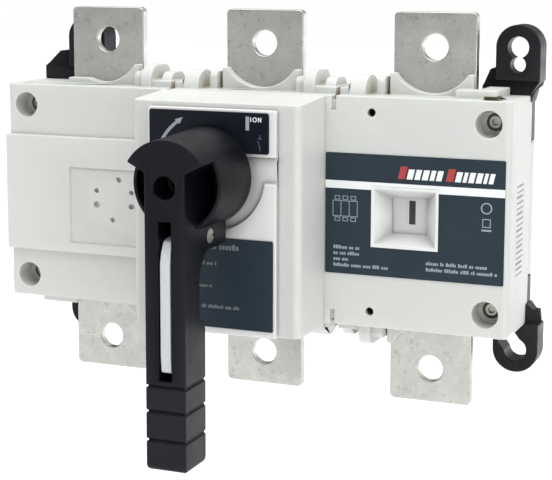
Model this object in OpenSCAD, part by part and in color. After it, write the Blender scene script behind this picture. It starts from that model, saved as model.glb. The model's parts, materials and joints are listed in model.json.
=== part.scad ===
// Three-pole rotary isolator switch with a direct-mounted handle.
// X runs along the row of poles, Y points back to the mounting panel and Z is up.
// The origin lies on the mounting panel, behind the middle pole.

/* [Poles] */
// Distance between neighbouring terminals
pole_pitch = 75; // [74:0.5:78]
// Width of a terminal tab
tab_w = 35; // [30:1:36]
// Thickness of a terminal tab
tab_t = 4; // [3:0.5:4]
// Diameter of the terminal bolt hole
tab_hole_d = 11; // [9:0.5:13]
// Height of the terminal holes above and below the centre line
tab_hole_z = 67; // [66:0.5:70]
// Distance from a terminal hole to the end of its tab
tab_end = 14.2; // [12:0.2:16]
// Distance from the panel to the front face of the tabs
tab_depth = 23; // [22.5:0.5:23.5]

/* [Housing] */
// Width of the housing
body_w = 228; // [226:1:232]
// Height of the housing
body_h = 95; // [94:1:98]
// Offset of the housing's middle from the middle pole
body_x = -2.5; // [-3:0.5:-2]
// Distance from the panel to the housing's front face
module_depth = 40; // [40:0.5:42]
// Thickness of the base plate behind the cover
base_t = 5.5; // [5:0.5:6]
// Wall thickness of the mouldings
wall = 3; // [2.5:0.5:3]

/* [Mechanism] */
// Width of the centre block
block_w = 74; // [72:1:76]
// Distance from the panel to the centre block's front
block_depth = 68; // [67:0.5:69]
// Distance from the panel to the control face
face_depth = 71; // [70.5:0.5:71]
// Throw of the crank pin from the shaft's axis
crank_r = 12; // [11:0.5:12]
// Radius of the drive shaft
shaft_r = 6; // [5.5:0.5:6]

/* [Handle] */
// Sideways place of the handle's axis
axis_x = -3; // [-4:0.5:-2]
// Height of the handle's axis
axis_z = 17; // [16:0.5:18]
// Radius of the hub where it faces the housing
hub_r = 19.6; // [19:0.2:20]
// Length of the handle from its axis to its tip
arm_l = 111; // [105:0.2:115]
// Width of the handle's arm
arm_w = 17; // [16:0.5:18]
// Distance from the panel to the front of the handle
handle_depth = 113.7; // [113.2:0.1:114.2]

/* [Hidden] */
$fn = 64;

left = -pole_pitch;
middle = 0;
right = pole_pitch;
eps = 0.01;
running = 0.04;                       // radial clearance of a turning fit
snug = 0.02;                          // clearance of parts that are fixed together

body_x0 = body_x - body_w / 2;
body_x1 = body_x + body_w / 2;
top_z = body_h / 2;
cover_y = -module_depth;              // front face of the housing
inner_y = cover_y + wall;             // inside of the cover's front wall
seam_y = -base_t;                     // joint between base and cover
tab_y0 = -tab_depth;                  // front face of the tabs
tab_y1 = tab_y0 + tab_t;              // back face of the tabs
block_x0 = axis_x - block_w / 2;
block_x1 = axis_x + block_w / 2;
block_y = -block_depth;
block_bottom = -top_z - 1;
block_top = top_z - 2;                // the block's top falls towards the front
face_y = -face_depth;
front_y = -handle_depth;

// Housing screws and feet
screw_dx = 104.7;
screw_dz = 38.2;
counterbore_r = 5.4;
scoop_r = 18.6;                       // round scoop in front of each terminal
counterbore_y = cover_y + 10.5;
screw_r = 2;
foot_t = 11.5;
keyhole_x = [-92.4, 106.4];
keyhole_z = 67;
keyhole_drop = 7;
keyhole_ring_r = 9.2;
hook_x = [-92.8, 108];
hook_z = -58.4;
hook_ring_r = 9.5;

// Label and window on the right-hand module
label_t = 0.3;
label_x0 = block_x1 + 0.4;
label_x1 = body_x1 - 1.9;
label_z0 = -25.8;
label_z1 = 24.2;
window_x = 68.4;
window_z = -1.3;
window_w = 28.4;
window_h = 25.2;
window_in = 14.6;
window_depth = 7.2;

// Crossbar and contacts
bar_y0 = -31;
bar_y1 = -27;
travel = sqrt(2) * crank_r;           // slide for a quarter turn
yoke_x = axis_x - crank_r * sin(45);
crank_pin_r = 2.5;
yoke_clear = 0.7;                     // the yoke runs free of the pin's sine motion
contact_w = 10;
contact_z = 18;                       // inner end of the fixed contacts
bridge_y1 = tab_y0 - 0.4;
bridge_y0 = bridge_y1 - 2.2;

// Shaft and crank
ring_y = block_y + wall + 4.2;        // groove of the retaining ring
disc_y = cover_y - 6;
disc_t = 5;
mechanism_screw_places = [for (sx = [-1, 1], z = [-36, 34]) [axis_x + sx * 20, z]];

// Handle
hub_y = -75.5;
rim_y = -103;
hub_front_r = hub_r - 1.4;
socket_w = 10;
socket_y = -96;
screw_web_y = -99;
pin_y = -90.1;
pin_z = -21.4;
pin_r = 1.6;
pin_head_r = 2.9;
slot_w = 5.2;
lever_w = 4.2;
slot_top = -13;
slot_bottom = -74.9;

// Range that reaches from lo to hi about a middle
function span(mid, lo, hi) = [mid + lo, mid + hi];

// A flat outline in X and Z, given a thickness along Y
module plate_y(y0, y1) {
    translate([0, y1, 0]) rotate([90, 0, 0]) linear_extrude(y1 - y0) children();
}

// A flat outline in Y and Z, given a thickness along X
module plate_x(x0, x1) {
    translate([x0, 0, 0]) rotate([90, 0, 90]) linear_extrude(x1 - x0) children();
}

module rod_y(x, z, r, y0, y1) {
    translate([x, y1, z]) rotate([90, 0, 0]) cylinder(h = y1 - y0, r = r);
}

module rod_x(x0, x1, y, z, r) {
    translate([x0, y, z]) rotate([0, 90, 0]) cylinder(h = x1 - x0, r = r);
}

module box(x, y, z) {
    translate([x[0], y[0], z[0]]) cube([x[1] - x[0], y[1] - y[0], z[1] - z[0]]);
}

// Rectangle between two corners with round corners of radius r
module rounded(x, z, r) {
    translate([x[0] + r, z[0]]) square([x[1] - x[0] - 2 * r, z[1] - z[0]]);
    translate([x[0], z[0] + r]) square([x[1] - x[0], z[1] - z[0] - 2 * r]);
    for (cx = [x[0] + r, x[1] - r], cz = [z[0] + r, z[1] - r])
        translate([cx, cz]) circle(r);
}

// The four housing screws
module at_screws() {
    for (sx = [-1, 1], sz = [-1, 1])
        translate([body_x + sx * screw_dx, 0, sz * screw_dz]) children();
}

// Top and bottom of the housing are the same, turned by half a turn about Y
module top_and_bottom() {
    for (turn = [0, 180]) rotate([0, turn, 0]) children();
}

// Outline of the housing, used for the cover and the base
module housing_box(y0, y1, inset) {
    box([body_x0 + inset, body_x1 - inset], [y0, y1], [-top_z + inset, top_z - inset]);
}

// Fin with a round top that holds the edge of a phase barrier
module barrier_fin(x0, x1, y0, y1, top, r) {
    plate_x(x0, x1) {
        translate([y0, top_z - wall]) square([y1 - y0, top - r - top_z + wall]);
        translate([y0 + r, top - r - eps]) square([y1 - y0 - 2 * r, r + eps]);
        for (cy = [y0 + r, y1 - r]) translate([cy, top - r]) circle(r);
    }
}

// The row of fins across the gap between two poles
module barrier_lugs(seam_x) {
    y_front = cover_y + 4;
    barrier_fin(seam_x - 19.5, seam_x - 15, y_front + 3, tab_y0 - 0.2, top_z + 6.5, 3);
    barrier_fin(seam_x - 15, seam_x - 10, y_front, -15, top_z + 9.5, 7);
    barrier_fin(seam_x - 6.5, seam_x - 1.8, y_front + 3, -18, top_z + 6.5, 5);
    barrier_fin(seam_x + 5, seam_x + 12, y_front, -17, top_z + 8, 9);
    barrier_fin(seam_x + 15.5, seam_x + 18.8, y_front + 5, -21, top_z + 7.5, 3);
    box([seam_x - 12, seam_x + 8], [y_front + 1, -13], [top_z - wall, top_z + 3]);
}

// Wall in front of a terminal, with a round scoop for the cable lug. It is lower on one side
// at the ends of the housing: -1 for the left, 1 for the right, 0 for neither.
module lug_well(x, low_side) {
    half = tab_w / 2;
    difference() {
        box([x - half, x + half], [tab_y0 - 5, tab_y0 - 0.1], [top_z - wall, top_z + 9]);
        rod_y(x, tab_hole_z, scoop_r, tab_y0 - 12, tab_y0 + 1);
        if (low_side != 0)
            box(low_side < 0 ? [x - half - 1, x] : [x, x + half + 1],
                [tab_y0 - 6, tab_y0], [top_z + 2.5, top_z + 10]);
    }
}

module front_housing() color("whitesmoke") {
    difference() {
        union() {
            difference() {
                housing_shell();
                housing_box(inner_y, seam_y + 1, wall);
            }
            cover_partitions();
            at_screws() rod_y(0, 0, 8, inner_y - 1, seam_y);
            for (turn = [0, 180]) rotate([0, turn, 0]) {
                lug_well(left, -1);
                lug_well(middle, 0);
                lug_well(right, turn == 0 ? 0 : 1);
            }
            top_and_bottom() {
                for (seam_x = [-pole_pitch / 2, pole_pitch / 2]) barrier_lugs(seam_x);
                outer_deck();
            }
        }
        at_screws() {
            rod_y(0, 0, counterbore_r, cover_y - 1, counterbore_y);
            rod_y(0, 0, screw_r + 1.6, counterbore_y - 1, counterbore_y + 3);
            rod_y(0, 0, screw_r + snug, counterbore_y, seam_y + 1);
        }
        top_and_bottom() terminal_openings();
        for (z = [-41, 41]) rod_y(53.7, z, 1.7, cover_y - 1, inner_y + 1);
        window_opening(0.1);
        rod_y(axis_x, axis_z, crank_r + crank_pin_r + 1, cover_y - 1, inner_y + 1);
    }
}

module housing_shell() {
    corner_r = 2.5;
    intersection() {
        housing_box(cover_y, seam_y, 0);
        translate([0, 0, -top_z]) linear_extrude(body_h)
            rounded([body_x0, body_x1], [cover_y, seam_y + 2 * corner_r], corner_r);
    }
}

// Walls between the poles, open in the middle for the crossbar
module cover_partitions() {
    for (x = [-pole_pitch / 2, pole_pitch / 2]) difference() {
        box([x - wall / 2, x + wall / 2], [inner_y - 1, -19], [-top_z + 1, top_z - 1]);
        box([x - wall, x + wall], [bar_y0 - 3, -18], [-8, 16]);
    }
}

// Raised land beside the right-hand top terminal
module outer_deck() {
    box([right + 20, right + 28.7], [cover_y + 6, -foot_t - 0.5], [top_z - wall, top_z + 3.4]);
    box([right + 11.7, right + 21], [cover_y + 6, tab_y0 - 4], [top_z - wall, top_z + 3.4]);
}

// Slots for the tabs, barrier slots and the shallow scoops in the top edge
module terminal_openings() {
    for (x = [left, middle, right]) {
        box([x - tab_w / 2 - 0.2, x + tab_w / 2 + 0.2], [tab_y0 - 0.1, seam_y + 1],
            [top_z - wall - 1, top_z + 10]);
        rod_y(x, tab_hole_z, scoop_r, tab_y0 - 7, tab_y0 + 0.1);
    }
    for (seam_x = [-pole_pitch / 2, pole_pitch / 2])
        box([seam_x - 0.9, seam_x + 0.9], [cover_y - 1, seam_y], [top_z - 2, top_z + 10]);
    for (seam_x = [-pole_pitch / 2, pole_pitch / 2])
        box([seam_x - 0.9, seam_x + 0.9], [cover_y - 1, cover_y + 1.5], [top_z - 6, top_z]);
    box([body_x1 - 13, body_x1 - 5], [cover_y + 2.5, -26], [top_z - 0.8, top_z + 1]);
    box([body_x0 + 5, body_x0 + 13], [cover_y + 2.5, -26], [top_z - 0.8, top_z + 1]);
}

module window_opening(gap) {
    box([window_x - window_w / 2 - gap, window_x + window_w / 2 + gap],
        [cover_y - 1, inner_y + 1],
        [window_z - window_h / 2 - gap, window_z + window_h / 2 + gap]);
}

module rear_housing() color("gainsboro") {
    difference() {
        union() {
            housing_box(seam_y, 0, 0);
            for (x = [-pole_pitch / 2, pole_pitch / 2])
                box([x - wall / 2, x + wall / 2], [-18.6, seam_y + 1], [-top_z + 4, top_z - 4]);
            top_and_bottom() for (x = [left, middle, right]) terminal_seat(x);
        }
        for (ring_x = keyhole_x) foot_pocket(ring_x, 1);
        for (ring_x = hook_x) foot_pocket(ring_x, -1);
        back_pockets();
    }
}

// Shallow pockets between the ribs on the back of the base
module back_pockets() {
    half = pole_pitch / 2;
    rib = 2;
    pocket_y = [-2.2, 1];
    row_z = 25;                       // the outer pockets stop below the feet
    edge_z = 42;
    feet_x = 73.5;
    for (x = [left - half, left, middle - half, middle, right - half, right], side = [0, 180])
        rotate([0, side, 0]) {
            pocket_x = span(side == 0 ? x : -x - half, rib, half - rib);
            box(pocket_x, pocket_y, [rib, row_z]);
            if (pocket_x[0] > -feet_x && pocket_x[1] < feet_x)
                box(pocket_x, pocket_y, [row_z + rib, edge_z]);
        }
}

// Land that a terminal rests on, and the tongue that closes the slot behind it
module terminal_seat(x) {
    box([x - 15, x + 15], [tab_y1 + snug, seam_y + 1], [37, top_z - 3.1]);
    box([x - tab_w / 2, x + tab_w / 2], [tab_y1 + snug, seam_y + 1], [top_z - 3.2, top_z]);
}

// Space for a foot's plate at a corner of the base
module foot_pocket(ring_x, side) {
    x = foot_plate_x(ring_x);
    z = side * [27.5, top_z + 1];
    box(x + [ring_x > 0 ? -0.1 : -1, ring_x > 0 ? 1 : 0.1], [seam_y - eps, 1], [min(z), max(z)]);
}

// Sideways reach of a foot's plate
function foot_plate_x(ring_x) = ring_x > 0 ? [91, body_x1] : [body_x0, -83];

module terminal(x) color("silver") {
    difference() {
        plate_y(tab_y0, tab_y1) {
            rounded([x - tab_w / 2, x + tab_w / 2], [36, tab_hole_z + tab_end], 2.2);
            translate([x - contact_w / 2, contact_z]) square([contact_w, 20]);
        }
        rod_y(x, tab_hole_z, tab_hole_d / 2, tab_y0 - 1, tab_y1 + 1);
    }
}

module line_terminal_left() terminal(left);
module line_terminal_middle() terminal(middle);
module line_terminal_right() terminal(right);
module load_terminal_left() rotate([0, 180, 0]) terminal(-left);
module load_terminal_middle() rotate([0, 180, 0]) terminal(-middle);
module load_terminal_right() rotate([0, 180, 0]) terminal(-right);

// Two stacks of splitter plates, one beside each fixed contact
module arc_plates(pole_x) color("slategray") {
    for (side = [-1, 1], k = [0:6])
        box([pole_x - 12 + 4 * k, pole_x - 11 + 4 * k], [-17.5, seam_y],
            side > 0 ? [12, 34] : [-34, -12]);
}

module arc_plates_left() arc_plates(left);
module arc_plates_middle() arc_plates(middle);
module arc_plates_right() arc_plates(right);

// Bar that joins a line contact to a load contact
module bridge_contact(pole_x) color("peru") {
    plate_y(bridge_y0, bridge_y1)
        rounded([pole_x - contact_w / 2, pole_x + contact_w / 2], [-27, 27], 1.5);
}

module bridge_contact_left() bridge_contact(left);
module bridge_contact_middle() bridge_contact(middle);
module bridge_contact_right() bridge_contact(right);

// Bowed leaf that presses a bridge against the fixed contacts
module leaf_spring(pole_x) color("lightsteelblue") {
    bow_r = 160;
    leaf_t = 0.4;
    intersection() {
        difference() {
            rod_x(pole_x - 3, pole_x + 3, bridge_y0 - bow_r - 0.6, 0, bow_r + 0.5);
            rod_x(pole_x - 4, pole_x + 4, bridge_y0 - bow_r - 0.6, 0, bow_r + 0.5 - leaf_t);
        }
        box([pole_x - 4, pole_x + 4], [bar_y1 + 0.05, bridge_y0], [-13, 13]);
    }
}

module leaf_spring_left() leaf_spring(left);
module leaf_spring_middle() leaf_spring(middle);
module leaf_spring_right() leaf_spring(right);

// Carriage that slides sideways and carries the three bridges
module crossbar() color("goldenrod") {
    yoke_w = 2 * (crank_pin_r + yoke_clear);
    slot_low = axis_z - crank_r - crank_pin_r - 1;
    slot_high = axis_z - crank_r * cos(45) + crank_pin_r + 1;
    difference() {
        union() {
            box([left - 9, right + 9], [bar_y0, bar_y1], [-6, 6]);
            box([yoke_x - 7, yoke_x + 7], [bar_y0, bar_y1], [-6, slot_high + 2.5]);
            for (x = [left, middle, right]) bridge_cage(x);
        }
        box([yoke_x - yoke_w / 2, yoke_x + yoke_w / 2], [bar_y0 - 1, bar_y1 + 1],
            [slot_low, slot_high]);
    }
}

// Two cheeks that hold a bridge at its middle
module bridge_cage(x) {
    for (side = [-1, 1]) {
        inner = x + side * (contact_w / 2 + snug);
        outer = x + side * (contact_w / 2 + 2.5);
        box([min(inner, outer), max(inner, outer)], [bar_y1 - 1, bridge_y1 + 0.1], [-6, 6]);
    }
}

// Plate that shows the switch position behind the window
module indicator_flag() color("lightgray") {
    box([window_x - 8.5 - travel, window_x + 8.5], [bar_y0 - 1.2, bar_y0], [-9.5, 7.5]);
}

module window_frame() color("white") {
    difference() {
        union() {
            box([window_x - window_w / 2, window_x + window_w / 2], [cover_y - 0.6, inner_y],
                [window_z - window_h / 2, window_z + window_h / 2]);
            box(span(window_x, -11.5, 11.5), [inner_y - eps, cover_y + window_depth - 0.2],
                span(window_z, -10.8, 10.8));
        }
        translate([window_x, cover_y - 0.6 - eps, window_z]) window_funnel();
    }
}

// Four-sided funnel from the label down to the clear pane
module window_funnel() {
    mouth = [window_w / 2 - 1.2, window_h / 2 - 1.2];
    floor_w = window_in / 2;
    floor_y = window_depth - 0.4;
    corners = [[-1, -1], [1, -1], [1, 1], [-1, 1]];
    polyhedron(
        points = concat([for (c = corners) [c[0] * mouth[0], 0, c[1] * mouth[1]]],
                        [for (c = corners) [c[0] * floor_w, floor_y, c[1] * floor_w]]),
        faces = [[3, 2, 1, 0], [4, 5, 6, 7], [0, 1, 5, 4], [1, 2, 6, 5], [2, 3, 7, 6], [3, 0, 4, 7]]);
    box([-floor_w, floor_w], [floor_y - eps, floor_y + 2], [-floor_w, floor_w]);
}

module window_pane() color("lightcyan", 0.4) {
    box([window_x - window_in / 2 + snug, window_x + window_in / 2 - snug],
        [cover_y + window_depth - 1, cover_y + window_depth - 0.2],
        [window_z - window_in / 2 + snug, window_z + window_in / 2 - snug]);
}

// Raised cover plate on the left-hand module
module side_cover() color("whitesmoke") {
    front = cover_y - 2.6;
    difference() {
        box([body_x0, block_x0 - 0.1], [front, cover_y], [-26, 25.2]);
        box([-84.2, block_x0 + 1], [front - 1, front + 0.5], [-21.4, 11.6]);
        for (p = [[-60.4, 7.3, 1.1], [-71.4, 2, 1], [-54.4, 2, 1], [-63.7, -10.5, 1],
                  [-71.5, -4.1, 1.4], [-54.5, -4.1, 1.2]])
            rod_y(p[0], p[1], p[2], front - 1, front + 2.2);
    }
}

module rating_label() color("darkslategray") {
    difference() {
        plate_y(cover_y - label_t, cover_y) rounded([label_x0, label_x1], [label_z0, label_z1], 0.6);
        window_opening(0.05);
    }
}

// Hollow block that carries the shaft and the control face
module mechanism_housing() color("whitesmoke") {
    corner_r = 3;
    difference() {
        intersection() {
            plate_x(block_x0, block_x1)
                polygon([[cover_y, block_bottom], [block_y, block_bottom], [block_y, block_top],
                         [cover_y, top_z - 0.2]]);
            translate([0, 0, block_bottom]) linear_extrude(body_h + 2)
                rounded([block_x0, block_x1], [block_y, cover_y + 2 * corner_r], corner_r);
        }
        box([block_x0 + wall, block_x1 - wall], [block_y + wall, cover_y + 1],
            [block_bottom + wall, block_top - wall]);
        rod_y(axis_x, axis_z, shaft_r + 3 + snug, block_y - 1, block_y + wall + 1);
        for (p = mechanism_screw_places) rod_y(p[0], p[1], 1.5 + snug, block_y - 1, block_y + wall + 1);
    }
}

// Front plate with the recess round the hub
module control_face() color("white") {
    x = span(axis_x, -28.2, 28);
    recess_z = [14.2, 24.7];
    sheet_y = block_y - 1;
    difference() {
        union() {
            plate_y(sheet_y, block_y) rounded(x, [block_bottom + 0.1, block_top - 2.2], 1);
            plate_y(face_y, sheet_y + eps) {
                rounded(x, [recess_z[1], block_top - 2.2], 1);
                difference() {
                    rounded(x, [block_bottom + 0.1, recess_z[0]], 1);
                    translate([axis_x, axis_z]) circle(23);
                }
            }
        }
        rod_y(axis_x, axis_z, shaft_r + 3 + snug, face_y - 1, block_y + 1);
        for (p = mechanism_screw_places) {
            rod_y(p[0], p[1], 1.5 + snug, face_y - 1, block_y + 1);
            rod_y(p[0], p[1], 2.8, face_y - 1, face_y + 1.6);
        }
    }
}

module upper_label() color("midnightblue") {
    difference() {
        plate_y(face_y - label_t, face_y) rounded(span(axis_x, -27.4, 25), [26, 42.2], 1);
        rod_y(axis_x, axis_z, hub_r - 8, face_y - 1, face_y + 1);
    }
}

module lower_label() color("darkslategray") {
    plate_y(face_y - label_t, face_y) rounded(span(axis_x, -27.4, 26.8), [-45.7, -8.8], 0.6);
}

module shaft_bush() color("ivory") {
    difference() {
        union() {
            rod_y(axis_x, axis_z, shaft_r + 3, face_y, block_y + wall + 4);
            rod_y(axis_x, axis_z, shaft_r + 6, block_y + wall, block_y + wall + 2);
        }
        rod_y(axis_x, axis_z, shaft_r + running, face_y - 1, block_y + wall + 5);
    }
}

module drive_shaft() color("lightsteelblue") {
    shaft_back = inner_y + 0.5;
    difference() {
        union() {
            rod_y(axis_x, axis_z, shaft_r, hub_y, shaft_back);
            box(span(axis_x, -socket_w / 2, socket_w / 2), [socket_y, hub_y + eps],
                span(axis_z, -socket_w / 2, socket_w / 2));
        }
        rod_y(axis_x, axis_z, 2.5 + snug, socket_y - 1, socket_y + 12);
        difference() {
            rod_y(axis_x, axis_z, shaft_r + 1, ring_y, ring_y + 1);
            rod_y(axis_x, axis_z, shaft_r - 0.6, ring_y - 1, ring_y + 2);
        }
    }
}

// Open ring that keeps the shaft in its bush
module retaining_ring() color("dimgray") {
    difference() {
        rod_y(axis_x, axis_z, shaft_r + 2, ring_y + 0.1, ring_y + 0.9);
        rod_y(axis_x, axis_z, shaft_r - 0.5, ring_y - 1, ring_y + 2);
        box(span(axis_x, -3, 3), [ring_y - 1, ring_y + 2], span(axis_z, 0, 10));
    }
}

module crank_disc() color("dimgray") {
    difference() {
        rod_y(axis_x, axis_z, crank_r + crank_pin_r + 1.5, disc_y, disc_y + disc_t);
        rod_y(axis_x, axis_z, shaft_r + snug, disc_y - 1, disc_y + disc_t + 1);
        rod_y(yoke_x, axis_z - crank_r * cos(45), crank_pin_r + snug, disc_y - 1, disc_y + disc_t + 1);
    }
}

module crank_pin() color("silver") {
    rod_y(yoke_x, axis_z - crank_r * cos(45), crank_pin_r, disc_y, bar_y1 - 0.4);
}

// Wire wound on a helix about the shaft, its ends turned outwards
module snap_spring() color("slategray") {
    wire_r = 0.8;
    coil_r = shaft_r + 4;
    turns = 4;
    steps = 16;
    sides = 8;
    start_y = ring_y + 3;
    rise = 2.2;
    rings = turns * steps + 1;
    points = [for (i = [0:rings - 1], k = [0:sides - 1])
        let (a = 360 * i / steps, b = 360 * k / sides, r = coil_r + wire_r * cos(b))
        [axis_x + r * cos(a), start_y + rise * i / steps + wire_r * sin(b), axis_z + r * sin(a)]];
    walls = [for (i = [0:rings - 2], k = [0:sides - 1])
        let (n = (k + 1) % sides)
        [i * sides + k, (i + 1) * sides + k, (i + 1) * sides + n, i * sides + n]];
    first = [for (k = [0:sides - 1]) k];
    last = [for (k = [sides - 1:-1:0]) (rings - 1) * sides + k];
    polyhedron(points = points, faces = concat(walls, [first, last]));
}

// Turning handle, drawn about its own axis
module handle() color([0.14, 0.15, 0.17]) {
    translate([axis_x, 0, axis_z]) difference() {
        union() {
            translate([0, hub_y, 0]) rotate([90, 0, 0])
                cylinder(h = hub_y - front_y, r1 = hub_r, r2 = hub_front_r);
            arm();
        }
        for (side = [0, 1]) mirror([side, 0, 0]) hub_relief();
        rod_y(0, 0, 4.5, front_y - 1, screw_web_y);
        rod_y(0, 0, 2.5 + 0.2, screw_web_y - 1, socket_y + 1);
        box([-socket_w, socket_w] / 2 + [-snug, snug], [socket_y, hub_y + 1],
            [-socket_w, socket_w] / 2 + [-snug, snug]);
        lever_pocket();
        rod_x(-arm_w / 2 - 1, arm_w / 2 + 1, pin_y, pin_z, pin_r + snug);
        rod_x(arm_w / 2 - 1.2, arm_w / 2 + 1, pin_y, pin_z, pin_head_r + snug);
        for (drop = [33.8, 23.8, 12.4]) grip_groove(-arm_l + drop);
    }
}

// Arm, neck and thicker grip, seen from the side
module arm() {
    upper_back = front_y + 13.4;
    grip_back = front_y + 18.5;
    tip_r = 2.5;
    intersection() {
        plate_x(-arm_w / 2, arm_w / 2) polygon([
            [front_y, 0], [front_y, -arm_l + tip_r], [front_y + tip_r * 0.3, -arm_l + tip_r * 0.3],
            [front_y + tip_r, -arm_l],
            [grip_back - tip_r, -arm_l], [grip_back - tip_r * 0.3, -arm_l + tip_r * 0.3],
            [grip_back, -arm_l + tip_r], [grip_back, -57], [grip_back - 1.5, -54.5],
            [upper_back, -52], [upper_back, -36.2], [upper_back + 1.8, -32], [upper_back + 3.8, -29],
            [upper_back + 7.5, -26.6], [hub_y, -26.6], [hub_y, 0]]);
        plate_y(front_y - 1, hub_y + 1)
            rounded([-arm_w / 2, arm_w / 2], [-arm_l, 10], 2);
    }
}

// The hub's front is cut back beside the arm, under the hood, and hollowed
module hub_relief() {
    hood = [[arm_w / 2, -26], [26, -26], [26, 14.8], [arm_w / 2, 5.5]];
    plate_y(front_y - 1, rim_y) polygon(hood);
    plate_y(rim_y - 1, -86) intersection() {
        polygon(hood);
        circle(hub_front_r - 1.2);
    }
}

// Slot for the lever, deeper and higher inside so that its root can swing
module lever_pocket() {
    plate_x(-slot_w / 2, slot_w / 2) {
        polygon([[front_y - 1, slot_top], [front_y - 1, slot_bottom], [-102, slot_bottom],
                 [-102, -37], [-99.7, -31.6], [-97.4, -28], [-93.8, -25.5], [pin_y, -25.5],
                 [pin_y, pin_z + 4.1], [-92, -9.7], [front_y + 1.8, -9.7],
                 [front_y + 1.8, slot_top]]);
        translate([pin_y, pin_z]) circle(4.1);
    }
}

module grip_groove(z) {
    depth = 0.7;
    difference() {
        box([-arm_w, arm_w], [front_y - 1, front_y + 30], [z - 0.6, z + 0.6]);
        box([-arm_w / 2 + depth, arm_w / 2 - depth], [front_y + depth, front_y + 31], [z - 1, z + 1]);
    }
}

module handle_screw() color("silver") {
    difference() {
        union() {
            rod_y(axis_x, axis_z, 4.2, screw_web_y - 3.5, screw_web_y);
            rod_y(axis_x, axis_z, 2.5, screw_web_y - 1, socket_y + 10);
        }
        plate_y(screw_web_y - 4, screw_web_y - 1.5)
            translate([axis_x, axis_z]) circle(r = 2.2, $fn = 6);
    }
}

// Lever that swings out of the slot to take a padlock
module lock_lever() color("gainsboro") {
    translate([axis_x, 0, axis_z]) difference() {
        plate_x(-lever_w / 2, lever_w / 2) {
            polygon([[pin_y, pin_z + 3.7], [-108.8, -20.2], [-110.6, -21], [-111.3, -22.4],
                     [-112.6, -25], [front_y + 0.2, -29], [front_y + 0.2, -65.2],
                     [front_y + 0.8, -71], [front_y + 1.7, -71.8], [-104.5, -71.8],
                     [-103.4, -70.5], [-103, -40], [-102.1, -36.2], [-100.3, -31.2],
                     [-98, -27.8], [-94, -25.1], [pin_y, -25.1]]);
            translate([pin_y, pin_z]) circle(3.7);
        }
        rod_x(-lever_w, lever_w, pin_y, pin_z, pin_r + running);
        rod_x(-lever_w, lever_w, -108.2, -62, 3);
    }
}

module lever_pin() color("silver") {
    translate([axis_x, 0, axis_z]) difference() {
        union() {
            rod_x(-arm_w / 2 + 0.3, arm_w / 2 - 0.1, pin_y, pin_z, pin_r);
            rod_x(arm_w / 2 - 1.1, arm_w / 2 - 0.1, pin_y, pin_z, pin_head_r);
        }
        box([arm_w / 2 - 0.6, arm_w / 2], span(pin_y, -4, 4), span(pin_z, -0.4, 0.4));
    }
}

// Plate of a foot, held under a corner of the cover by the housing screw
module foot_plate(ring_x, side) {
    x = foot_plate_x(ring_x);
    z = side * [28, top_z];
    screw_x = body_x + sign(ring_x) * screw_dx;
    difference() {
        box(x, [seam_y, 0], [min(z), max(z)]);
        rod_y(screw_x, side * screw_dz, screw_r + snug, seam_y - 1, 1);
        plate_y(-3.4, 1) translate([screw_x, side * screw_dz]) circle(r = 4.1, $fn = 6);
    }
}

// Upper foot: a ring with a keyhole
module keyhole_foot(ring_x) color([0.17, 0.18, 0.2]) {
    entry_r = 4.4;
    seat_r = 3.2;
    web_back = -4;                    // the ring is hollow behind this depth
    hollow_r = keyhole_ring_r - 1.8;
    foot_plate(ring_x, 1);
    difference() {
        union() {
            rod_y(ring_x, keyhole_z, keyhole_ring_r, -foot_t, 0);
            box(span(ring_x, -keyhole_ring_r, keyhole_ring_r), [-foot_t, 0], [top_z + 6, keyhole_z]);
            foot_shoulder(ring_x);
            if (ring_x > 0) upper_flank(ring_x + keyhole_ring_r);
        }
        rod_y(ring_x, keyhole_z, entry_r, -foot_t - 1, 1);
        rod_y(ring_x, keyhole_z - keyhole_drop, seat_r, -foot_t - 1, 1);
        rod_y(ring_x, keyhole_z, hollow_r, web_back, 1);
        box(span(ring_x, -hollow_r, hollow_r), [web_back, 1], [keyhole_z - keyhole_drop - 4, keyhole_z]);
    }
}

// Flared root of the upper ring, wider on the side where the housing reaches past it
module foot_shoulder(ring_x) {
    root = ring_x > 0 ? [[91.4, 3.4], [92.2, 4.8], [94.6, 10.4], [97.9, 11.7]]
                      : [[-114.8, 6], [-113, 7.3], [-107, 13], [-101.5, 13.7]];
    plate = foot_plate_x(ring_x);
    right_edge = min(ring_x + keyhole_ring_r, plate[1]);
    plate_y(-foot_t + 1.5, 0)
        polygon(concat([[root[0][0], top_z + 0.1]], [for (p = root) [p[0], top_z + p[1]]],
                       [[ring_x - 8, top_z + 13.5], [ring_x + 8, top_z + 13.5],
                        [ring_x + keyhole_ring_r, top_z + 6], [right_edge, top_z + 0.1]]));
    box([max(root[0][0], plate[0]), right_edge], [seam_y, 0], [top_z - 0.1, top_z + 1]);
}

// Wedge beside the housing that joins a ring's outer edge to its plate
module foot_flank(outer, z) {
    inner = body_x1 + 0.3;
    intersection() {
        plate_y(-foot_t + 1, 0) children();
        translate([0, 0, z[0]]) linear_extrude(z[1] - z[0])
            polygon([[inner, -foot_t + 2], [outer, -2], [outer, 0], [inner, 0]]);
    }
}

module upper_flank(outer) {
    inner = body_x1 + 0.3;
    foot_flank(outer, [40, keyhole_z])
        polygon([[inner, 44.5], [113.2, 49.9], [114.8, 51.2], [outer, 56], [outer, keyhole_z],
                 [inner, keyhole_z]]);
}

module lower_flank(outer) {
    inner = body_x1 + 0.3;
    foot_flank(outer, [hook_z, -36])
        polygon([[inner, -38.8], [112.6, -39.8], [114.4, -42.2], [116.2, -42.2], [116.9, -48.7],
                 [outer, -53], [outer, hook_z], [inner, hook_z]]);
}

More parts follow.
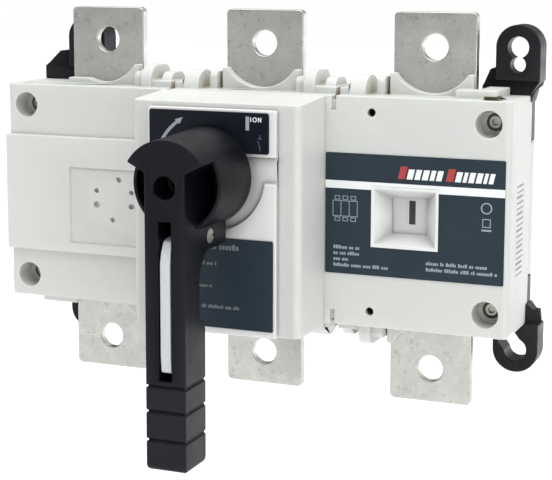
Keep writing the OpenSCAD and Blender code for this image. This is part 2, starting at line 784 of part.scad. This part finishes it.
// Lower foot: a hook that is open upwards to one side
module hook_foot(ring_x) color([0.17, 0.18, 0.2]) {
    hook_r = 4.7;
    open_toward = 127;
    plate = foot_plate_x(ring_x);
    foot_plate(ring_x, -1);
    difference() {
        union() {
            rod_y(ring_x, hook_z, hook_ring_r, -foot_t, 0);
            box(span(ring_x, -hook_ring_r, hook_ring_r), [-foot_t, 0], [hook_z, -top_z - 0.1]);
            box([max(ring_x - 2, plate[0]), min(ring_x + hook_ring_r, plate[1])],
                [seam_y, 0], [-top_z - 1, -top_z]);
            if (ring_x > 0) lower_flank(ring_x + hook_ring_r);
        }
        rod_y(ring_x, hook_z, hook_r, -foot_t - 1, 1);
        plate_y(-foot_t - 1, 1) translate([ring_x, hook_z]) rotate(open_toward)
            translate([0, -hook_r + 0.6]) square([18, 2 * hook_r - 1.2]);
    }
}

module foot_top_left() keyhole_foot(keyhole_x[0]);
module foot_top_right() keyhole_foot(keyhole_x[1]);
module foot_bottom_left() hook_foot(hook_x[0]);
module foot_bottom_right() hook_foot(hook_x[1]);

module housing_screws() color("gray") {
    at_screws() difference() {
        union() {
            rod_y(0, 0, screw_r + 0.5, counterbore_y + 0.3, counterbore_y + 3);
            rod_y(0, 0, screw_r, counterbore_y + 2, -0.4);
        }
        plate_y(counterbore_y, counterbore_y + 2) circle(r = 1.5, $fn = 6);
    }
}

module housing_nuts() color("gray") {
    at_screws() difference() {
        plate_y(-3.4, -0.6) circle(r = 4, $fn = 6);
        rod_y(0, 0, screw_r + snug, -4, 1);
    }
}

module mechanism_screws() color("gray") {
    for (p = mechanism_screw_places) {
        rod_y(p[0], p[1], 2.6, face_y + 0.1, face_y + 1.6);
        rod_y(p[0], p[1], 1.5, face_y + 1, block_y + wall + 3);
    }
}

rear_housing();
front_housing();
mechanism_housing();
control_face();
side_cover();
upper_label();
lower_label();
rating_label();
window_frame();
window_pane();
line_terminal_left();
line_terminal_middle();
line_terminal_right();
load_terminal_left();
load_terminal_middle();
load_terminal_right();
arc_plates_left();
arc_plates_middle();
arc_plates_right();
bridge_contact_left();
bridge_contact_middle();
bridge_contact_right();
leaf_spring_left();
leaf_spring_middle();
leaf_spring_right();
crossbar();
indicator_flag();
drive_shaft();
crank_disc();
crank_pin();
shaft_bush();
retaining_ring();
snap_spring();
handle();
handle_screw();
lock_lever();
lever_pin();
foot_top_left();
foot_top_right();
foot_bottom_left();
foot_bottom_right();
housing_screws();
housing_nuts();
mechanism_screws();
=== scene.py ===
"""Looks of the three-pole rotary isolator switch, round its fixed CAD frame. All lengths are in metres."""
import json
import math
import random

import bmesh
import bpy
from mathutils import Matrix, Vector


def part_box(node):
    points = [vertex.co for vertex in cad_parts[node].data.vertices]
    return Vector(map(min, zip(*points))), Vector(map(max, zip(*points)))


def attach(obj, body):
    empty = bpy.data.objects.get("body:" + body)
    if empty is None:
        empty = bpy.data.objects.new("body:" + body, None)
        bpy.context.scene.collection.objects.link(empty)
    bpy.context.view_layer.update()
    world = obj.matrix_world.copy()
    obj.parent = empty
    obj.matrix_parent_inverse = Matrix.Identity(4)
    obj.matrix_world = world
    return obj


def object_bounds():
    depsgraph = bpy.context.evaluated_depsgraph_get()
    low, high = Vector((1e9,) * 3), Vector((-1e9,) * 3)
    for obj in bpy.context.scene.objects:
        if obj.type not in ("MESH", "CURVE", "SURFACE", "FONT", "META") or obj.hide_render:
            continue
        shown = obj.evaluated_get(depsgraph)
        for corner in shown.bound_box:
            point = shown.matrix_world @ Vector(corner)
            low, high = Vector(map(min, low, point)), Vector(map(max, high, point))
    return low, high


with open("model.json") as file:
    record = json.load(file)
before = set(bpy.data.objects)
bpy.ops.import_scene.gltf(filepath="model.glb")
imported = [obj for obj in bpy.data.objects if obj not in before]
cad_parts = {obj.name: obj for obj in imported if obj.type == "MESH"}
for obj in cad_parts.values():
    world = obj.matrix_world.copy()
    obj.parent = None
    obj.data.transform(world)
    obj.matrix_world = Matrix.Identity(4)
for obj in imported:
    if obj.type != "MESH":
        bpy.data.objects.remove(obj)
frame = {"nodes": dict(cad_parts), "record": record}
cad_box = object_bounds()

MM = 0.001
PRINT_T = 0.00006            # a printed mark stands this far off its label
HOUSING, CARRIAGE = "housing", "carriage"
PRINT_SEED = 7
WHITE = (1, 1, 1, 1)

# Rounding of the CAD edges: points nearer than WELD_GAP join, faces within FLAT_ANGLE of each
# other become one, and edges sharper than BEVEL_ANGLE are rounded (angles in degrees)
WELD_GAP, FLAT_ANGLE, BEVEL_ANGLE = 0.000005, 0.8, 38

# Camera: place, lens, downward shift, and its azimuth, elevation and roll in degrees
CAMERA_PLACE = (0.25344, -0.62839, 0.10284)
CAMERA_LENS, CAMERA_SHIFT = 100.77, -0.1087
CAMERA_TURN = (22.285, 8.194, 0.132)

# Brightness of the surroundings from the left, the right, the front and above
LEFT_LIGHT, RIGHT_LIGHT, FRONT_LIGHT, SKY_LIGHT = 0.15, 0.35, 0.17, 1.7
FLOOR_DROP, FLOOR_REACH = 0.2, 6.0

# Sockets of a Mix node
MIX_FACTOR, MIX_LOW, MIX_HIGH, MIX_COLOR, MIX_OTHER_COLOR = 0, 2, 3, 6, 7
MIX_VALUE_OUT, MIX_COLOR_OUT = 0, 2

scene = bpy.context.scene


# ---------------------------------------------------------------- materials

class Surface:
    """A Principled material with object-space noise that drives colour, roughness and bump."""

    def __init__(self, name, color, roughness, metallic=0.0):
        self.material = bpy.data.materials.new(name)
        self.material.use_nodes = True
        self.tree = self.material.node_tree
        self.shader = self.tree.nodes["Principled BSDF"]
        self.shader.inputs["Roughness"].default_value = roughness
        self.shader.inputs["Metallic"].default_value = metallic
        self.shader.inputs["Base Color"].default_value = (*color, 1)
        self.color = (*color, 1)
        self.roughness = roughness
        self.coords = self.tree.nodes.new("ShaderNodeTexCoord").outputs["Object"]
        self.color_out = None
        self.normal_out = None

    def node(self, kind, **settings):
        made = self.tree.nodes.new(kind)
        for key, value in settings.items():
            setattr(made, key, value)
        return made

    def link(self, out, socket):
        self.tree.links.new(out, socket)

    def stretched(self, scale):
        """Object coordinates stretched by a factor for each axis."""
        mapping = self.node("ShaderNodeMapping")
        mapping.inputs["Scale"].default_value = scale
        self.link(self.coords, mapping.inputs["Vector"])
        return mapping.outputs["Vector"]

    def noise(self, scale, detail=3.0, roughness=0.55, stretch=(1, 1, 1)):
        made = self.node("ShaderNodeTexNoise")
        made.inputs["Scale"].default_value = scale
        made.inputs["Detail"].default_value = detail
        made.inputs["Roughness"].default_value = roughness
        self.link(self.stretched(stretch), made.inputs["Vector"])
        return made.outputs["Fac"]

    def spread(self, value, low, high, to_low=0.0, to_high=1.0):
        made = self.node("ShaderNodeMapRange", clamp=True)
        for socket, number in zip(("From Min", "From Max", "To Min", "To Max"),
                                  (low, high, to_low, to_high)):
            made.inputs[socket].default_value = number
        self.link(value, made.inputs["Value"])
        return made.outputs["Result"]

    def tint(self, factor, color):
        """Mix another colour over the colour so far."""
        mix = self.node("ShaderNodeMix", data_type="RGBA")
        base = mix.inputs[MIX_COLOR]
        if self.color_out is None:
            base.default_value = self.color
        else:
            self.link(self.color_out, base)
        mix.inputs[MIX_OTHER_COLOR].default_value = (*color, 1)
        self.link(factor, mix.inputs[MIX_FACTOR])
        self.color_out = mix.outputs[MIX_COLOR_OUT]
        self.link(self.color_out, self.shader.inputs["Base Color"])

    def vary_roughness(self, factor, low, high):
        self.link(self.spread(factor, 0.3, 0.7, low, high), self.shader.inputs["Roughness"])

    def bump(self, height, distance, strength=1.0):
        made = self.node("ShaderNodeBump")
        made.inputs["Distance"].default_value = distance
        made.inputs["Strength"].default_value = strength
        self.link(height, made.inputs["Height"])
        if self.normal_out is not None:
            self.link(self.normal_out, made.inputs["Normal"])
        self.normal_out = made.outputs["Normal"]
        self.link(self.normal_out, self.shader.inputs["Normal"])

    def edges(self, color, low=0.52, high=0.6, amount=1.0):
        """Worn or polished convex edges."""
        point = self.node("ShaderNodeNewGeometry").outputs["Pointiness"]
        self.tint(self.spread(point, low, high, 0.0, amount), color)

    def painted_crevice_shade(self, color, reach, amount, deep=0.15, open_at=0.65):
        """Painted shade: colour darkened and tinted in corners and recesses, by ambient occlusion."""
        hidden = self.node("ShaderNodeAmbientOcclusion", samples=8)
        hidden.inputs["Distance"].default_value = reach
        self.tint(self.spread(hidden.outputs["AO"], deep, open_at, amount, 0.0), color)

    def sheen_of(self, specular):
        self.shader.inputs["Specular IOR Level"].default_value = specular


def moulded(name, color, roughness, shade, lift, grain=2400, grain_depth=0.00002, crevice_shade=None):
    """Moulded thermoplastic: fine spark-eroded grain, faint flow mottling and cleaner edges."""
    surface = Surface(name, color, roughness)
    surface.shader.inputs["Subsurface Weight"].default_value = 0.25
    surface.shader.inputs["Subsurface Radius"].default_value = (1.0, 1.0, 0.9)
    surface.shader.inputs["Subsurface Scale"].default_value = 0.0025
    surface.tint(surface.spread(surface.noise(22, 4), 0.35, 0.7, 0.0, 0.8), shade)
    surface.tint(surface.spread(surface.noise(grain / 8, 3), 0.45, 0.75, 0.0, 0.35), lift)
    surface.edges(lift, 0.51, 0.56, 0.7)
    # Where given, painted shade in corners and recesses (colour, reach, amount, deep, open_at).
    if crevice_shade:
        surface.painted_crevice_shade(*crevice_shade)
    surface.vary_roughness(surface.noise(90, 3), roughness - 0.06, roughness + 0.08)
    surface.bump(surface.noise(grain, 2), grain_depth)
    surface.bump(surface.noise(70, 2), 0.00006)
    return surface.material


def plated(name, color, roughness, shade, brush=(1, 1, 12), spots=None):
    """Plated metal: directional brushing, cloudy tarnish and, where given, dull spots."""
    surface = Surface(name, color, roughness, 1.0)
    brushed = surface.noise(900, 4, 0.6, brush)
    surface.tint(surface.spread(surface.noise(60, 5, 0.65), 0.35, 0.7, 0.0, 0.75), shade)
    surface.tint(surface.spread(brushed, 0.5, 0.8, 0.0, 0.5), shade)
    if spots:
        surface.tint(surface.spread(surface.noise(420, 3, 0.7), 0.58, 0.68, 0.0, 0.7), spots)
        scratches = surface.noise(260, 2, 0.5, (1, 1, 14))
        surface.tint(surface.spread(scratches, 0.62, 0.68, 0.0, 0.6), [1.35 * part for part in color])
    surface.vary_roughness(surface.noise(130, 4), roughness - 0.07, roughness + 0.12)
    surface.bump(brushed, 0.00003)
    surface.bump(surface.noise(45, 2), 0.0002)
    return surface.material


def film(name, color, roughness, shade):
    """Printed label film: smooth, with slight ripples and rub marks."""
    surface = Surface(name, color, roughness)
    surface.sheen_of(0.2)
    surface.tint(surface.spread(surface.noise(55, 4), 0.4, 0.75, 0.0, 0.7), shade)
    surface.tint(surface.spread(surface.noise(1500, 2), 0.6, 0.8, 0.0, 0.4), shade)
    surface.vary_roughness(surface.noise(160, 4), roughness - 0.06, roughness + 0.1)
    surface.bump(surface.noise(240, 3), 0.00002)
    return surface.material


def clear(name):
    surface = Surface(name, (0.98, 0.99, 0.99), 0.05)
    surface.shader.inputs["Transmission Weight"].default_value = 1.0
    surface.shader.inputs["IOR"].default_value = 1.3
    surface.sheen_of(0.25)
    surface.vary_roughness(surface.noise(400, 3), 0.02, 0.09)
    surface.bump(surface.noise(300, 2), 0.00001)
    return surface.material


def satin_black(name, color, shade, worn):
    """Glass-filled black plastic: satin grain with paler, rubbed edges."""
    surface = Surface(name, color, 0.36)
    surface.sheen_of(0.12)
    surface.tint(surface.spread(surface.noise(35, 4), 0.4, 0.7, 0.0, 0.8), shade)
    surface.edges(worn, 0.52, 0.6, 0.55)
    surface.vary_roughness(surface.noise(120, 4), 0.29, 0.42)
    surface.bump(surface.noise(3000, 2), 0.00003)
    surface.bump(surface.noise(80, 2), 0.00008)
    return surface.material


MATERIALS = {
    # Housing plastic; its warm, darker tint in recesses and counterbores is painted shade and painted
    # inter-reflection.
    "housing_plastic": moulded("housing_plastic", (0.57, 0.58, 0.56), 0.5,
                               (0.53, 0.55, 0.53), (0.63, 0.64, 0.62),
                               crevice_shade=((0.38, 0.34, 0.23), 0.008, 1.0, 0.1, 0.5)),
    "base_plastic": moulded("base_plastic", (0.57, 0.58, 0.56), 0.52,
                            (0.52, 0.53, 0.51), (0.62, 0.63, 0.61)),
    # Control face plastic; its near-black tint in the dish round the hub and other recesses is painted
    # shade.
    "face_plastic": moulded("face_plastic", (0.72, 0.73, 0.72), 0.38,
                            (0.68, 0.69, 0.68), (0.78, 0.79, 0.78), 1600, 0.00001,
                            ((0.10, 0.11, 0.10), 0.009, 0.95, 0.3, 0.95)),
    "navy_label": film("navy_label", (0.004, 0.006, 0.012), 0.45, (0.007, 0.009, 0.017)),
    "slate_label": film("slate_label", (0.018, 0.030, 0.042), 0.42, (0.024, 0.037, 0.051)),
    "clear_plastic": clear("clear_plastic"),
    "tinned_copper": plated("tinned_copper", (0.57, 0.57, 0.54), 0.31,
                            (0.47, 0.47, 0.44), (12, 1, 1), (0.36, 0.36, 0.34)),
    "plated_steel": plated("plated_steel", (0.55, 0.54, 0.50), 0.34, (0.40, 0.39, 0.36)),
    "spring_steel": plated("spring_steel", (0.38, 0.40, 0.43), 0.32, (0.26, 0.27, 0.30)),
    # Handle screw: blackened steel, made extra dark as painted shade so the deep hole in the hub reads
    # black.
    "black_steel": plated("black_steel", (0.05, 0.05, 0.055), 0.5, (0.03, 0.03, 0.033)),
    "chute_steel": plated("chute_steel", (0.42, 0.43, 0.45), 0.45, (0.30, 0.31, 0.33)),
    "silvered_copper": plated("silvered_copper", (0.80, 0.56, 0.42), 0.35, (0.70, 0.66, 0.60)),
    "bush_plastic": moulded("bush_plastic", (0.74, 0.70, 0.58), 0.4,
                            (0.68, 0.64, 0.52), (0.80, 0.77, 0.66)),
    "carriage_plastic": moulded("carriage_plastic", (0.52, 0.34, 0.15), 0.5,
                                (0.44, 0.28, 0.12), (0.60, 0.42, 0.20)),
    "flag_plastic": moulded("flag_plastic", (0.90, 0.89, 0.87), 0.5,
                            (0.86, 0.85, 0.83), (0.93, 0.92, 0.90)),
    "black_plastic": satin_black("black_plastic", (0.0025, 0.003, 0.005),
                                 (0.004, 0.0045, 0.007), (0.03, 0.032, 0.038)),
    "lever_plastic": moulded("lever_plastic", (0.47, 0.50, 0.53), 0.42,
                             (0.43, 0.46, 0.49), (0.56, 0.59, 0.62)),
    "foot_plastic": satin_black("foot_plastic", (0.005, 0.0055, 0.007),
                                (0.008, 0.0085, 0.010), (0.045, 0.047, 0.052)),
}
INKS = {
    "pale_ink": film("pale_ink", (0.29, 0.35, 0.39), 0.5, (0.24, 0.30, 0.34)),
    "lilac_ink": film("lilac_ink", (0.36, 0.39, 0.46), 0.5, (0.31, 0.34, 0.41)),
    "white_ink": film("white_ink", (0.80, 0.82, 0.82), 0.5, (0.70, 0.73, 0.74)),
    "black_ink": film("black_ink", (0.008, 0.008, 0.009), 0.5, (0.013, 0.013, 0.015)),
    "grey_ink": film("grey_ink", (0.17, 0.19, 0.21), 0.5, (0.13, 0.15, 0.17)),
    "red_ink": film("red_ink", (0.40, 0.06, 0.055), 0.5, (0.34, 0.05, 0.046)),
    "faint_ink": film("faint_ink", (0.24, 0.25, 0.25), 0.5, (0.20, 0.21, 0.21)),
}

slot_of = {part["node"]: part["material_slot"] for part in frame["record"]["subparts"]}


# ------------------------------------------------------------ moulded edges

# Width of the rounded edge on each visible node
EDGES = {
    "front_housing": 0.45, "rear_housing": 0.35, "mechanism_housing": 0.6, "control_face": 0.35,
    "side_cover": 0.45, "window_frame": 0.2, "line_terminal": 0.5, "load_terminal": 0.5,
    "handle": 0.5, "lock_lever": 0.35, "foot": 0.45, "handle_screw": 0.2, "housing_screws": 0.15,
    "mechanism_screws": 0.2, "lever_pin": 0.15,
}


def edge_width(node):
    widths = [width for start, width in EDGES.items() if node.startswith(start)]
    return max(widths) * MM if widths else 0


def round_edges(obj, width):
    weld = obj.modifiers.new("weld", "WELD")
    weld.merge_threshold = WELD_GAP
    flat = obj.modifiers.new("flat", "DECIMATE")
    flat.decimate_type = "DISSOLVE"
    flat.angle_limit = math.radians(FLAT_ANGLE)
    bevel = obj.modifiers.new("bevel", "BEVEL")
    bevel.width = width
    bevel.segments = 2
    bevel.limit_method = "ANGLE"
    bevel.angle_limit = math.radians(BEVEL_ANGLE)
    bevel.use_clamp_overlap = False
    bevel.miter_outer = "MITER_SHARP"
    normals = obj.modifiers.new("normals", "WEIGHTED_NORMAL")
    normals.keep_sharp = False
    normals.weight = 80


for name, obj in frame["nodes"].items():
    for index in range(len(obj.data.materials)):
        obj.data.materials[index] = MATERIALS[slot_of[name]]
    if edge_width(name):
        round_edges(obj, edge_width(name))


# ------------------------------------------------------------ printed marks

class Print:
    """Flat marks on one face, each a thin prism that stands just off it, joined in one mesh."""

    def __init__(self, face, height=PRINT_T):
        self.face = face                 # turns (across, up, out) into a point
        self.height = height
        self.mesh = bmesh.new()

    def loop(self, points, out):
        return [self.mesh.verts.new(self.face(a * MM, b * MM, out)) for a, b in points]

    def wall(self, low, high):
        for i in range(len(low)):
            j = (i + 1) % len(low)
            self.mesh.faces.new((low[i], low[j], high[j], high[i]))

    def shape(self, points):
        """Prism over one closed outline."""
        low, high = self.loop(points, 0), self.loop(points, self.height)
        self.mesh.faces.new(low)
        self.mesh.faces.new(high)
        self.wall(low, high)

    def bar(self, x0, z0, x1, z1):
        self.shape([(x0, z0), (x1, z0), (x1, z1), (x0, z1)])

    def stroke(self, start, end, width):
        """Straight line of a given width."""
        a, b = Vector(start), Vector(end)
        side = (b - a).orthogonal().normalized() * width / 2
        self.shape([a - side, b - side, b + side, a + side])

    def ring(self, outer, inner):
        """Prism between two closed outlines that have the same number of points."""
        loops = [self.loop(points, out) for out in (0, self.height) for points in (outer, inner)]
        low_out, low_in, high_out, high_in = loops
        self.wall(low_out, high_out)
        self.wall(low_in, high_in)
        self.wall(low_out, low_in)
        self.wall(high_out, high_in)

    def frame(self, x0, z0, x1, z1, line):
        """Rectangle drawn as a line."""
        self.ring([(x0, z0), (x1, z0), (x1, z1), (x0, z1)],
                  [(x0 + line, z0 + line), (x1 - line, z0 + line),
                   (x1 - line, z1 - line), (x0 + line, z1 - line)])

    def finish(self, name, ink, body):
        bmesh.ops.recalc_face_normals(self.mesh, faces=self.mesh.faces)
        data = bpy.data.meshes.new(name)
        self.mesh.to_mesh(data)
        self.mesh.free()
        data.materials.append(INKS[ink])
        piece = bpy.data.objects.new(name, data)
        scene.collection.objects.link(piece)
        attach(piece, body)


def on_front(y):
    """Front face at depth y: across is X, up is Z, out is towards the viewer."""
    return lambda across, up, out: (across, y - out, up)


def on_right(x):
    """Right-hand face at x: across is Y, up is Z."""
    return lambda across, up, out: (x + out, across, up)


def on_arc(centre, radius, degrees):
    angle = math.radians(degrees)
    return (centre[0] + radius * math.cos(angle), centre[1] + radius * math.sin(angle))


def arc(centre, radius, start, end, steps):
    """Points along an arc, angles in degrees."""
    return [on_arc(centre, radius, start + (end - start) * i / steps) for i in range(steps + 1)]


def oval(centre, rx, rz, steps=32):
    return [(centre[0] + rx * math.cos(a), centre[1] + rz * math.sin(a))
            for a in (2 * math.pi * i / steps for i in range(steps))]


def blocked_words(marks, x0, x1, z, height, rng):
    """A line of plain blocks that stands for small print, with no letters in it."""
    x = x0
    while x < x1:
        for _ in range(rng.randint(2, 7)):
            width = height * rng.uniform(0.35, 0.62)
            if x + width > x1:
                return
            tall = height if rng.random() < 0.3 else height * 0.72
            marks.bar(x, z, x + width, z + tall)
            x += width + height * 0.16
        x += height * 0.5


def mm_box(node):
    """A node's box in millimetres: x0, y0, z0, x1, y1, z1."""
    low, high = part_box(node)
    return [value / MM for value in (*low, *high)]


rng = random.Random(PRINT_SEED)
joints = {joint["name"]: joint for joint in frame["record"]["behaviour"]["joints"]}
axis_x, _, axis_z = [value / MM for value in joints["handle_turn"]["pos_m"]]


def upper_label_print():
    """Turning arrow, on mark and a small switch symbol."""
    x0, y0, z0, x1, y1, z1 = mm_box("upper_label")
    marks = Print(on_front(y0 * MM))
    centre, mid_r, half = (axis_x, axis_z), 25.3, 0.65
    tail, neck, steps = 149, 126, 14
    outer = arc(centre, mid_r + half, tail, neck, steps)
    inner = arc(centre, mid_r - half, neck, tail, steps)
    head = [on_arc(centre, mid_r + half * 2.2, 127), on_arc(centre, mid_r + 0.3, 119),
            on_arc(centre, mid_r - half * 2.0, 125)]
    marks.shape(outer + head + inner)
    marks.bar(x1 - 9.9, z1 - 7.0, x1 - 8.4, z1 - 1.5)
    marks.finish("turn_arrow", "lilac_ink", HOUSING)

    text = Print(on_front(y0 * MM))
    low, high = z1 - 3.6, z1 - 1.7
    letter_x = x1 - 7.9
    text.bar(letter_x, low, letter_x + 0.4, high)
    o_x = letter_x + 1.9
    text.ring(oval((o_x, (low + high) / 2), 0.95, 0.98), oval((o_x, (low + high) / 2), 0.58, 0.62))
    n_x, n_w, stem = o_x + 1.35, 1.5, 0.36
    text.shape([(n_x, low), (n_x + stem, low), (n_x + stem, high - 0.62), (n_x + n_w - stem, low),
                (n_x + n_w, low), (n_x + n_w, high), (n_x + n_w - stem, high),
                (n_x + n_w - stem, low + 0.62), (n_x + stem, high), (n_x, high)])
    text.finish("on_mark", "white_ink", HOUSING)

    symbol = Print(on_front(y0 * MM))
    sx, line = x1 - 3.8, 0.22
    symbol.bar(sx - line / 2, z0 + 6.2, sx + line / 2, z0 + 7.6)
    symbol.bar(sx - 0.7, z0 + 5.9, sx + 0.7, z0 + 6.2)
    symbol.stroke((sx - 0.9, z0 + 5.2), (sx, z0 + 2.9), line)
    symbol.bar(sx - line / 2, z0 + 1.2, sx + line / 2, z0 + 2.9)
    symbol.finish("switch_symbol", "grey_ink", HOUSING)


def lower_label_print():
    """Blocked small print beside and behind the arm."""
    x0, y0, z0, x1, y1, z1 = mm_box("lower_label")
    marks = Print(on_front(y0 * MM))
    blocked_words(marks, x0 + 3, x1 - 12.5, z1 - 4.7, 2.3, rng)
    for drop, height, reach in ((11.3, 1.5, 24), (20.5, 1.3, 26), (29.0, 1.5, 14)):
        blocked_words(marks, x0 + 3, x1 - reach, z1 - drop, height, rng)
    marks.finish("lower_label_print", "grey_ink", HOUSING)


def rating_label_print():
    """White stripe, heading blocks, three-pole outline and small print."""
    x0, y0, z0, x1, y1, z1 = mm_box("rating_label")
    stripe = Print(on_front(y0 * MM))
    wx0, _, wz0, wx1, _, wz1 = mm_box("window_frame")
    stripe_z0, stripe_z1 = z1 - 14.6, z1 - 11.4
    stripe.shape([(x0, stripe_z0), (wx0, stripe_z0), (wx0, wz1 + 0.05), (wx1, wz1 + 0.05),
                  (wx1, stripe_z0), (x1, stripe_z0), (x1, stripe_z1), (x0, stripe_z1)])
    stripe.finish("label_stripe", "white_ink", HOUSING)

    heading = Print(on_front(y0 * MM))
    accent = Print(on_front(y0 * MM))
    slant, low, tall = 1.0, z1 - 9.4, 4.1
    widths = [2.9, 2.5, 2.3, 2.5, 1.9, 2.3, 3.0, 2.4, 1.5, 2.3, 2.3, 1.4, 1.9]
    x = x0 + 31
    for index, width in enumerate(widths):
        first = index in (0, 6)
        top = low + tall * (1.25 if first else 1.0)
        shift = slant * (top - low) / tall
        (accent if first else heading).shape([(x, low), (x + width, low),
                                              (x + width + shift, top), (x + shift, top)])
        x += width + 0.75 + (1.0 if index == 5 else 0)
    heading.finish("heading_blocks", "white_ink", HOUSING)
    accent.finish("heading_accents", "red_ink", HOUSING)

    outline = Print(on_front(y0 * MM))
    left, base, pole, line = x0 + 3.2, z0 + 23.8, 3.6, 0.28
    top = base + 6.6
    outline.frame(left, base, left + 3 * pole, top, line)
    for k in (1, 2):
        wall = left + k * pole
        outline.bar(wall - line / 2, base + line, wall + line / 2, top - line)
    for k in range(3):
        tab = left + 0.9 + k * (pole - 0.15)
        for tab_z in (base + 6.85, base - 2.0):
            outline.frame(tab, tab_z, tab + 2.3, tab_z + 1.75, line)
    ring_centre = (x1 - 7.4, z1 - 19.2)
    outline.ring(oval(ring_centre, 2.3, 2.3), oval(ring_centre, 1.8, 1.8))
    outline.bar(x1 - 9.3, z1 - 28.4, x1 - 5.3, z1 - 27.7)
    outline.frame(x1 - 9.0, z1 - 26.9, x1 - 5.6, z1 - 23.4, 0.35)
    outline.finish("pole_outline", "pale_ink", HOUSING)

    small = Print(on_front(y0 * MM))
    for row, reach in enumerate((11.4, 12.6, 7.2, 23.8)):
        blocked_words(small, x0 + 3.7, x0 + 3.7 + reach, z0 + 10.3 - 2.45 * row, 1.45, rng)
    for row, reach in enumerate((25.4, 30.0)):
        blocked_words(small, x1 - 31.9, x1 - 31.9 + reach, z0 + 6.2 - 2.5 * row, 1.45, rng)
    small.finish("rating_print", "pale_ink", HOUSING)


def flag_print():
    """I and O marks on the sliding flag, one slide apart."""
    x0, y0, z0, x1, y1, z1 = mm_box("indicator_flag")
    travel = joints["carriage_slide"]["range_m"][1] / MM
    marks = Print(on_front(y0 * MM))
    on_x, mid_z = x1 - 7.6, 0.05
    marks.bar(on_x - 1.35, mid_z - 4.85, on_x + 1.35, mid_z + 4.85)
    off = (on_x - travel, mid_z)
    marks.ring(oval(off, 3.4, 4.85, 48), oval(off, 2.1, 3.5, 48))
    marks.finish("flag_marks", "black_ink", CARRIAGE)


def side_print():
    """Column of short lines on the right-hand side."""
    x1 = mm_box("front_housing")[3]
    marks = Print(on_right(x1 * MM))
    lines, low_z, pitch, start_y, end_y = 17, -24.0, 2.25, -28.5, -17.0
    for index in range(lines):
        z = low_z + pitch * index
        thick = (0.5, 0.7, 0.85)[index % 3]
        marks.bar(start_y + 0.6 * (index % 2), z, end_y - 0.7 * (index % 3), z + thick)
    marks.finish("side_lines", "faint_ink", HOUSING)


upper_label_print()
lower_label_print()
rating_label_print()
flag_print()
side_print()


# ------------------------------------------------------------- camera, light

def make_camera():
    """A long lens, to the right of the switch and a little above it."""
    data = bpy.data.cameras.new("camera")
    data.sensor_width = 36
    data.lens = CAMERA_LENS
    data.shift_y = CAMERA_SHIFT
    cam = bpy.data.objects.new("camera", data)
    scene.collection.objects.link(cam)
    azimuth, elevation, roll = (math.radians(a) for a in CAMERA_TURN)
    back = Vector((math.sin(azimuth) * math.cos(elevation),
                   -math.cos(azimuth) * math.cos(elevation), math.sin(elevation)))
    turn = (-back).to_track_quat("-Z", "Y").to_matrix() @ Matrix.Rotation(roll, 3, "Z")
    cam.matrix_world = Matrix.Translation(CAMERA_PLACE) @ turn.to_4x4()
    scene.camera = cam


def area_light(name, place, aim, size, power):
    data = bpy.data.lights.new(name, "AREA")
    data.shape = "RECTANGLE"
    data.size, data.size_y = size
    data.energy = power
    light = bpy.data.objects.new(name, data)
    light.visible_camera = False
    scene.collection.objects.link(light)
    light.location = place
    light.rotation_euler = (Vector(aim) - Vector(place)).to_track_quat("-Z", "Y").to_euler()


def step(tree, value, low, high):
    """Smooth 0 to 1 ramp of a value."""
    ramp = tree.nodes.new("ShaderNodeMapRange")
    ramp.interpolation_type = "SMOOTHSTEP"
    ramp.inputs["From Min"].default_value = low
    ramp.inputs["From Max"].default_value = high
    tree.links.new(value, ramp.inputs["Value"])
    return ramp.outputs["Result"]


def blend_value(tree, factor, low, high):
    """Mix of two brightnesses; low may be a socket."""
    mix = tree.nodes.new("ShaderNodeMix")
    tree.links.new(factor, mix.inputs[MIX_FACTOR])
    if isinstance(low, (int, float)):
        mix.inputs[MIX_LOW].default_value = low
    else:
        tree.links.new(low, mix.inputs[MIX_LOW])
    mix.inputs[MIX_HIGH].default_value = high
    return mix.outputs[MIX_VALUE_OUT]


def make_world():
    """White surroundings that light the switch from above and the sides, and less from the front."""
    world = bpy.data.worlds.new("studio")
    scene.world = world
    world.use_nodes = True
    tree = world.node_tree
    direction = tree.nodes.new("ShaderNodeTexCoord").outputs["Generated"]
    axes = tree.nodes.new("ShaderNodeSeparateXYZ")
    tree.links.new(direction, axes.inputs[0])
    to_front = step(tree, axes.outputs["Y"], -0.1, -0.7)
    to_right = step(tree, axes.outputs["X"], -0.3, 0.4)
    upward = step(tree, axes.outputs["Z"], 0.35, 0.7)
    level = blend_value(tree, to_right, LEFT_LIGHT, RIGHT_LIGHT)
    level = blend_value(tree, to_front, level, FRONT_LIGHT)
    level = blend_value(tree, upward, level, SKY_LIGHT)
    seen = tree.nodes.new("ShaderNodeLightPath").outputs["Is Camera Ray"]
    level = blend_value(tree, seen, level, 1.0)
    background = tree.nodes["Background"]
    background.inputs["Color"].default_value = WHITE
    tree.links.new(level, background.inputs["Strength"])


def make_floor():
    """Plain pale floor, well below the switch."""
    floor_z = cad_box[0].z - FLOOR_DROP
    reach = FLOOR_REACH
    corners = [(-reach, -reach, floor_z), (reach, -reach, floor_z),
               (reach, reach, floor_z), (-reach, reach, floor_z)]
    mesh = bpy.data.meshes.new("floor")
    mesh.from_pydata(corners, [], [(0, 1, 2, 3)])
    floor = bpy.data.objects.new("floor", mesh)
    scene.collection.objects.link(floor)
    paint = Surface("floor_paint", (0.92, 0.92, 0.92), 0.8)
    paint.sheen_of(0.1)
    mesh.materials.append(paint.material)


make_camera()
make_world()
make_floor()
area_light("top_light", (0.1, -0.3, 0.9), (0, 0, 0), (0.9, 0.6), 3.2)
area_light("right_light", (0.75, -1.0, 0.05), (0, -0.03, 0), (0.5, 0.8), 3.4)
area_light("back_light", (0.55, 1.0, 0.0), (0, -0.1, 0), (0.5, 0.8), 1.6)
scene.view_settings.view_transform = "Standard"
